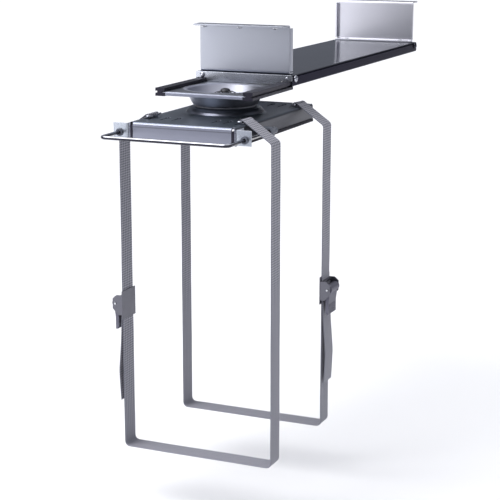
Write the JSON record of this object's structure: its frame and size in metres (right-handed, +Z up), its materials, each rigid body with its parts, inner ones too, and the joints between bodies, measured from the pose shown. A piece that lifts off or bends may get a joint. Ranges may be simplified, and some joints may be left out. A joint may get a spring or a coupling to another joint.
{
  "type": "computer holder",
  "caption": "Under-desk computer holder: hanging channel track, sliding dished carriage, swivelling tray with pull handle, and a sling of buckled webbing straps.",
  "frame": {"origin": "middle of the top face of the front hanger's flange, where it bears on the underside of a desk", "axes": "+X to the user's right, +Y to the rear along the track, +Z up"},
  "size_m": [0.2544, 0.8313, 0.5824],
  "materials": {
    "slate_steel": "slate blue-grey semi-gloss coating on folded steel",
    "satin_steel": "satin, faintly brushed, light lavender-grey",
    "plated_steel": "bright zinc-plated fasteners and wire hooks",
    "chromed_wire": "polished chrome",
    "blackened_steel": "oil-blackened steel of the spider spring, its bolt and the rear side screws",
    "buckle_steel": "dull grey stamped steel of the cam buckles",
    "grey_plastic": "slate grey moulded bushes, guides and caps of the handle",
    "black_plastic": "matt black moulded plastic with a fine grain",
    "black_rubber": "matt black rubber edging",
    "nylon": "natural nylon",
    "lever_plastic": "dark grey moulded lever with finger ribs",
    "webbing": "woven lilac-grey webbing with a fine diagonal rib"
  },
  "bodies": {
    "track": {"track_channel": "slate_steel", "front_hanger": "satin_steel", "rear_hanger": "satin_steel", "front_stop_bar": "satin_steel", "rear_stop_bar": "slate_steel", "front_side_screw_left": "plated_steel", "front_side_screw_right": "plated_steel", "rear_side_screw_left": "blackened_steel", "rear_side_screw_right": "blackened_steel", "front_lock_bolt": "plated_steel", "front_bar_rivet": "plated_steel", "front_hanger_screw_left": "plated_steel", "front_hanger_screw_middle": "plated_steel", "front_hanger_screw_right": "plated_steel", "rear_hanger_screw_left": "plated_steel", "rear_hanger_screw_middle": "plated_steel", "rear_hanger_screw_right": "plated_steel", "front_hanger_rivet_left": "satin_steel", "front_hanger_rivet_right": "satin_steel", "rear_hanger_rivet_left": "satin_steel", "rear_hanger_rivet_right": "satin_steel"},
    "carriage": {"swivel_plate": "satin_steel", "left_runner": "black_plastic", "right_runner": "black_plastic", "bearing_disc": "nylon"},
    "tray": {"holder_tray": "slate_steel", "pivot_bolt": "blackened_steel", "spider_spring": "blackened_steel", "pivot_washer": "plated_steel", "pivot_lock_nut": "plated_steel", "left_ear": "satin_steel", "right_ear": "satin_steel", "left_ear_rivet": "plated_steel", "right_ear_rivet": "plated_steel", "left_handle_bush": "grey_plastic", "right_handle_bush": "grey_plastic", "left_handle_guide": "grey_plastic", "right_handle_guide": "grey_plastic", "left_edge_trim": "black_rubber", "right_edge_trim": "black_rubber", "left_corner_plug": "black_plastic", "right_corner_plug": "black_plastic", "front_strap": "webbing", "rear_strap": "webbing", "front_hook_left": "plated_steel", "front_hook_right": "plated_steel", "rear_hook_left": "plated_steel", "rear_hook_right": "plated_steel", "front_strap_tail": "webbing", "rear_strap_tail": "webbing", "front_buckle_frame": "buckle_steel", "rear_buckle_frame": "buckle_steel", "front_buckle_pin": "plated_steel", "rear_buckle_pin": "plated_steel"},
    "handle": {"handle_bail": "chromed_wire", "left_handle_cap": "grey_plastic", "right_handle_cap": "grey_plastic"},
    "front_lever": {"front_buckle_lever": "lever_plastic"},
    "rear_lever": {"rear_buckle_lever": "lever_plastic"}
  },
  "joints": [
    {"name": "carriage_slide", "type": "slide", "parent": "track", "child": "carriage", "axis": [0, 1, 0], "range_m": [0, 0.545]},
    {"name": "tray_swivel", "type": "hinge", "parent": "carriage", "child": "tray", "pos_m": [0, -0.054, -0.106], "axis": [0, 0, 1], "continuous": true},
    {"name": "handle_slide", "type": "slide", "parent": "tray", "child": "handle", "axis": [0, 1, 0], "range_m": [0, 0.036]},
    {"name": "front_buckle_lever_hinge", "type": "hinge", "parent": "tray", "child": "front_lever", "pos_m": [-0.1208, -0.139, -0.3746], "axis": [0, 1, 0], "range_deg": [0, 110]},
    {"name": "rear_buckle_lever_hinge", "type": "hinge", "parent": "tray", "child": "rear_lever", "pos_m": [0.1208, 0.046, -0.3746], "axis": [0, -1, 0], "range_deg": [0, 110]}
  ]
}
